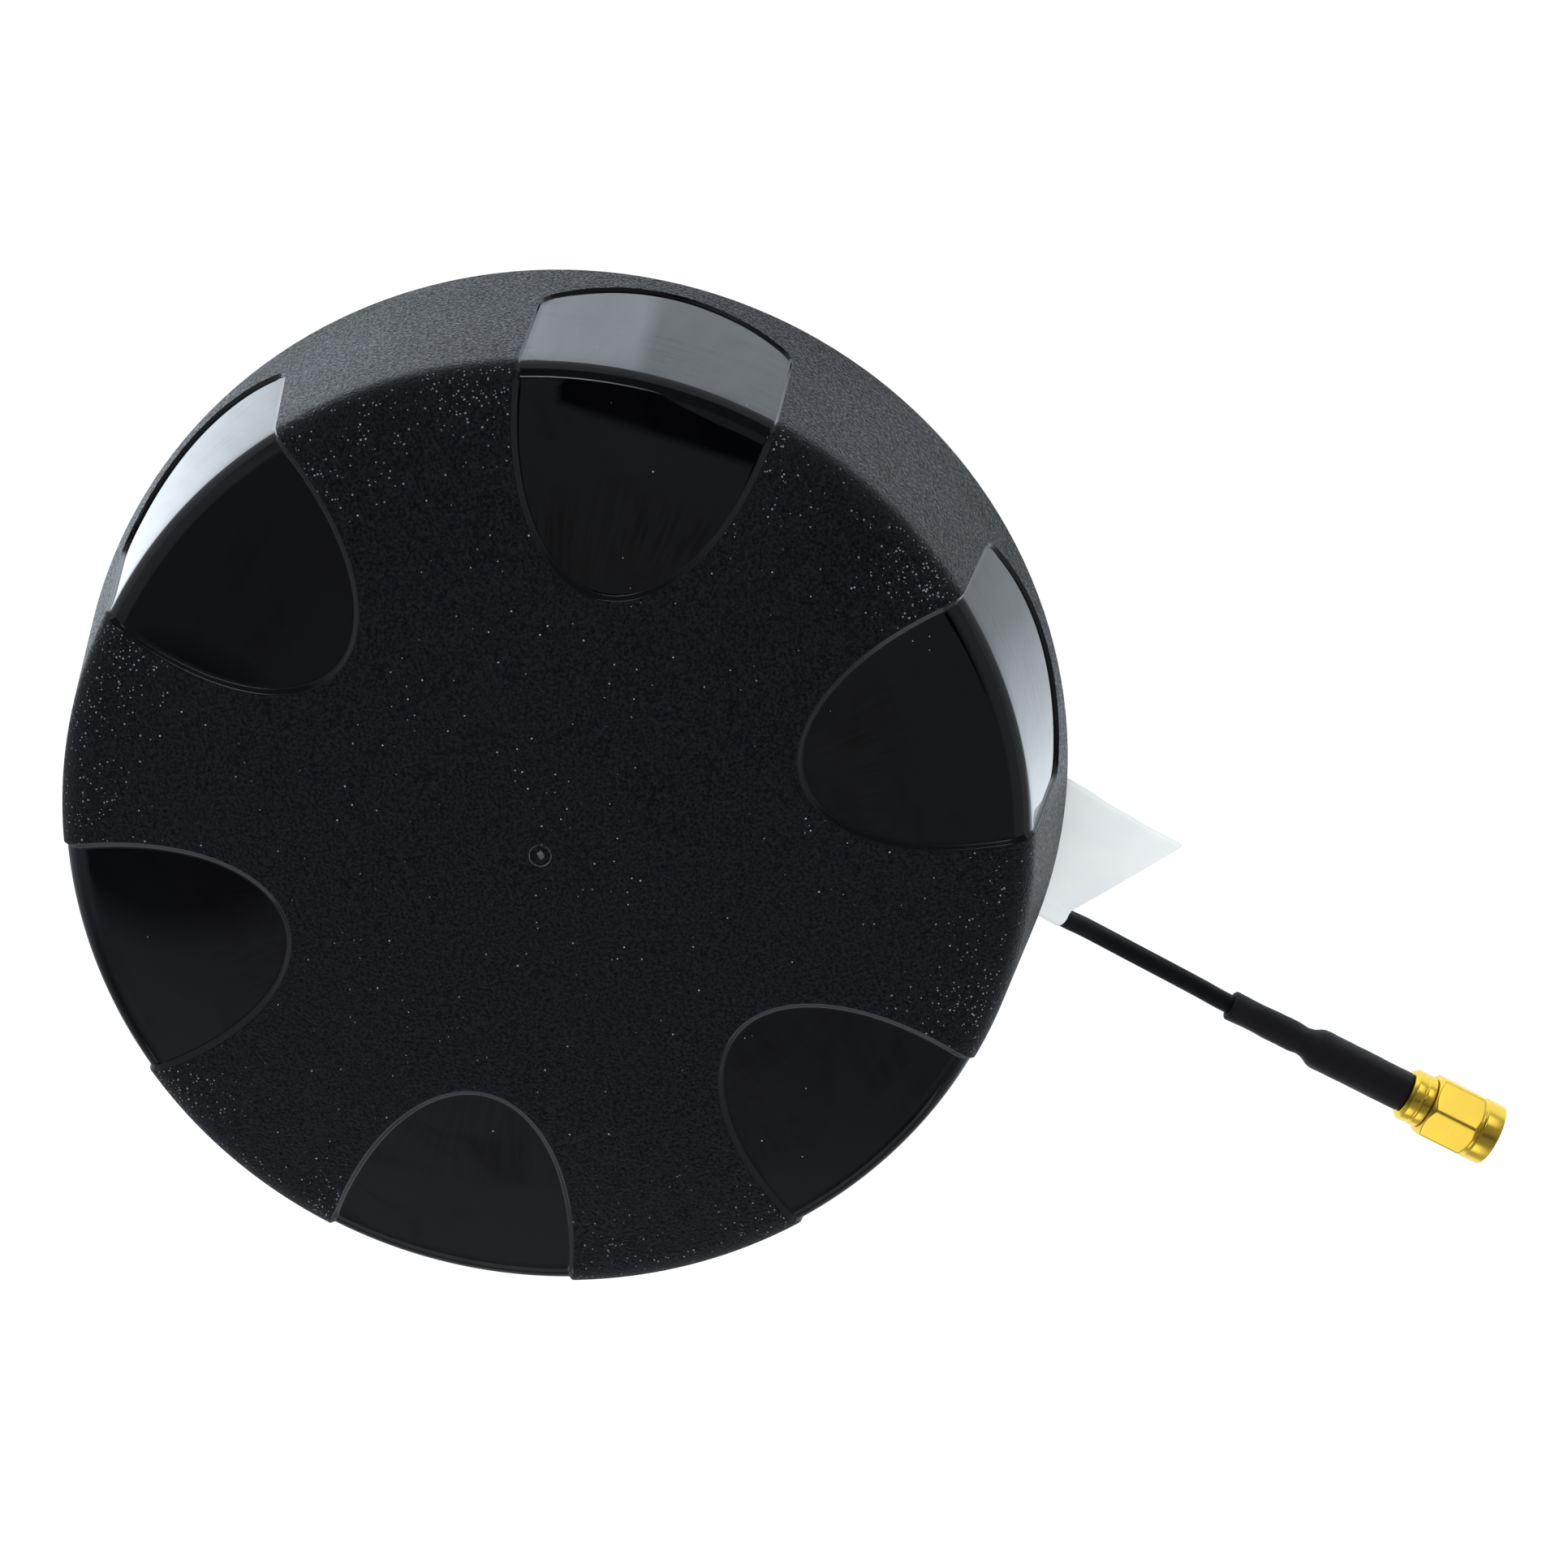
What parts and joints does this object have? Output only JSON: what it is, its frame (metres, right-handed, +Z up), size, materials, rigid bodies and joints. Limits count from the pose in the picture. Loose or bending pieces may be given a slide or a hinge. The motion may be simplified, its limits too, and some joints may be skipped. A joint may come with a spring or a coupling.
{
  "type": "gnss receiver",
  "caption": "Round satellite positioning antenna: low domed radome with polished windows, central pole-thread boss, short coax pigtail with a screw-on coaxial plug.",
  "frame": {"origin": "on the ground plane, under the middle of the boss", "axes": "+Z up through the dome along the antenna's axis; a polished window faces +Y and another faces -Y; the cable leaves towards -X -Y"},
  "size_m": [0.1519, 0.1577, 0.0636],
  "materials": {
    "radome": "fine-textured moulding with polished recessed windows",
    "seal": "satin",
    "base": "fine texture",
    "steel": "machined",
    "vent": "matte",
    "foil": "satin, blank",
    "boss": "black anodised",
    "insert": "machined",
    "brass": "machined",
    "board": "solder mask",
    "tin": "tin plate",
    "chip": "matte",
    "gold": "gold plate",
    "ceramic": "fired ceramic",
    "silver": "silver print",
    "foam": "open foam",
    "gland": "moulded nylon",
    "boot": "matte",
    "jacket": "satin",
    "label": "blank white film",
    "sleeve": "heat-shrunk, satin",
    "insulator": "fluoropolymer",
    "gasket": "silicone"
  },
  "bodies": {
    "antenna": {"radome": "radome", "radome_seal": "seal", "base_plate": "base", "base_screws": "steel", "vent_plug": "vent", "rating_plate": "foil", "mount_boss": "boss", "thread_insert": "insert", "boss_seal": "seal", "boss_screws": "steel", "board_standoffs": "brass", "main_board": "board", "board_screws": "steel", "shield_can": "tin", "filter_chips": "chip", "board_jack": "gold", "lower_patch": "ceramic", "lower_plate": "silver", "upper_patch": "ceramic", "upper_plate": "silver", "feed_pins": "brass", "foam_pad": "foam", "gland_body": "gland", "gland_cap": "gland", "gland_boot": "boot", "coax_tail": "jacket", "coax_cable": "jacket", "flag_label": "label", "cable_sleeve": "sleeve", "crimp_ferrule": "gold", "plug_body": "gold", "plug_insulator": "insulator", "plug_pin": "gold", "plug_ring": "gold", "plug_gasket": "gasket"},
    "coupling": {"plug_nut": "gold"}
  },
  "joints": [
    {"name": "coupling_spin", "type": "hinge", "parent": "antenna", "child": "coupling", "pos_m": [-0.08462, -0.09037, 0.00475], "axis": [-0.6954, -0.7186, -0.0077], "continuous": true}
  ]
}
